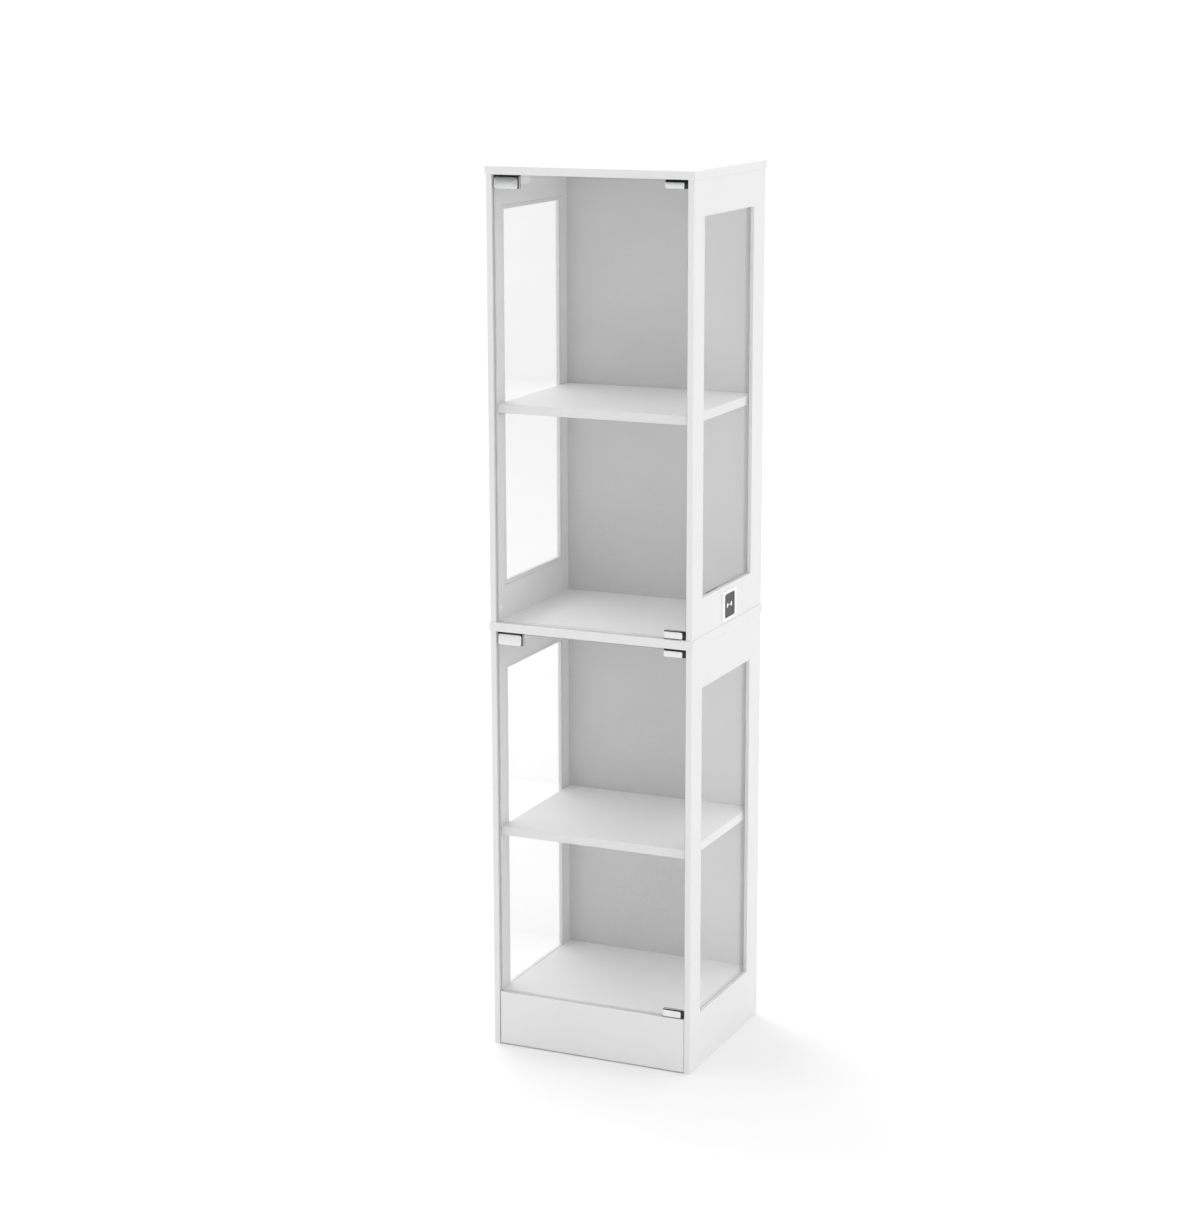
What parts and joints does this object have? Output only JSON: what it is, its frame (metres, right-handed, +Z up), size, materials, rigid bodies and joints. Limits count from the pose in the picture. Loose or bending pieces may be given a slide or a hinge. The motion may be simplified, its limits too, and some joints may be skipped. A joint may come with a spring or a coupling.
{
  "type": "barrister bookcase",
  "caption": "Tall narrow two-stage display bookcase with white boards, glazed sides and a frameless pivot-hung glass door on each stage.",
  "frame": {"origin": "on the floor, under the middle of the top board", "axes": "+X to the right seen from the front, +Y to the rear, +Z up; the doors are on the -Y side"},
  "size_m": [0.442, 0.38, 1.8],
  "materials": {
    "white_board": "smooth matt white paint on fibreboard",
    "white_back": "white faced thin fibreboard",
    "clear_glass": "clear polished float glass",
    "chrome": "polished",
    "dark_steel": "black nickel plated",
    "zinc_steel": "zinc plated",
    "white_plastic": "fine matt",
    "grey_plastic": "satin",
    "beech": "unfinished, fluted",
    "magnet_steel": "nickel plated",
    "white_tape": "matt foam"
  },
  "bodies": {
    "carcass": {"back_panel_lower": "white_back", "back_panel_upper": "white_back", "bottom_board": "white_board", "cam_bolts_base": "zinc_steel", "cam_bolts_side": "zinc_steel", "cam_caps": "white_plastic", "cam_locks_base": "zinc_steel", "cam_locks_side": "zinc_steel", "corner_block_screws": "zinc_steel", "corner_blocks": "white_board", "dowels_middle": "beech", "dowels_top": "beech", "glazing_tapes": "white_tape", "hinge_bushes_lower": "white_plastic", "hinge_bushes_upper": "white_plastic", "latch_housing_lower": "white_plastic", "latch_housing_upper": "white_plastic", "latch_screws": "zinc_steel", "middle_board": "white_board", "shelf_lower": "white_board", "shelf_pins_lower": "zinc_steel", "shelf_pins_upper": "zinc_steel", "shelf_upper": "white_board", "side_pane_lower_left": "clear_glass", "side_pane_lower_right": "clear_glass", "side_pane_upper_left": "clear_glass", "side_pane_upper_right": "clear_glass", "side_panel_lower_left": "white_board", "side_panel_lower_right": "white_board", "side_panel_upper_left": "white_board", "side_panel_upper_right": "white_board", "socket_bezel": "white_plastic", "socket_housing": "grey_plastic", "socket_insert": "grey_plastic", "socket_shutter": "white_plastic", "toe_kick": "white_board", "top_board": "white_board", "wall_bracket": "zinc_steel", "wall_bracket_screws": "zinc_steel"},
    "door_upper": {"door_glass_upper": "clear_glass", "hinge_clip_upper_top": "dark_steel", "hinge_clip_upper_bottom": "dark_steel", "hinge_pins_upper": "zinc_steel", "strike_clip_upper": "dark_steel", "clip_covers_upper": "chrome", "clip_liners_upper": "white_plastic", "grub_screws_upper": "zinc_steel"},
    "door_lower": {"door_glass_lower": "clear_glass", "hinge_clip_lower_top": "dark_steel", "hinge_clip_lower_bottom": "dark_steel", "hinge_pins_lower": "zinc_steel", "strike_clip_lower": "dark_steel", "clip_covers_lower": "chrome", "clip_liners_lower": "white_plastic", "grub_screws_lower": "zinc_steel"},
    "plunger_upper": {"latch_plunger_upper": "white_plastic", "latch_magnet_upper": "magnet_steel"},
    "plunger_lower": {"latch_plunger_lower": "white_plastic", "latch_magnet_lower": "magnet_steel"}
  },
  "joints": [
    {"name": "door_upper_hinge", "type": "hinge", "parent": "carcass", "child": "door_upper", "pos_m": [0.1955, -0.18, 1.3395], "axis": [0, 0, 1], "range_deg": [0, 110]},
    {"name": "door_lower_hinge", "type": "hinge", "parent": "carcass", "child": "door_lower", "pos_m": [0.1955, -0.18, 0.4955], "axis": [0, 0, 1], "range_deg": [0, 110]},
    {"name": "latch_upper_slide", "type": "slide", "parent": "carcass", "child": "plunger_upper", "axis": [0, -1, 0], "range_m": [0, 0.004]},
    {"name": "latch_lower_slide", "type": "slide", "parent": "carcass", "child": "plunger_lower", "axis": [0, -1, 0], "range_m": [0, 0.004]}
  ],
  "couplings": [
    {"joint": "latch_upper_slide", "follows": "door_upper_hinge", "m_per_rad": 0.002083},
    {"joint": "latch_lower_slide", "follows": "door_lower_hinge", "m_per_rad": 0.002083}
  ]
}
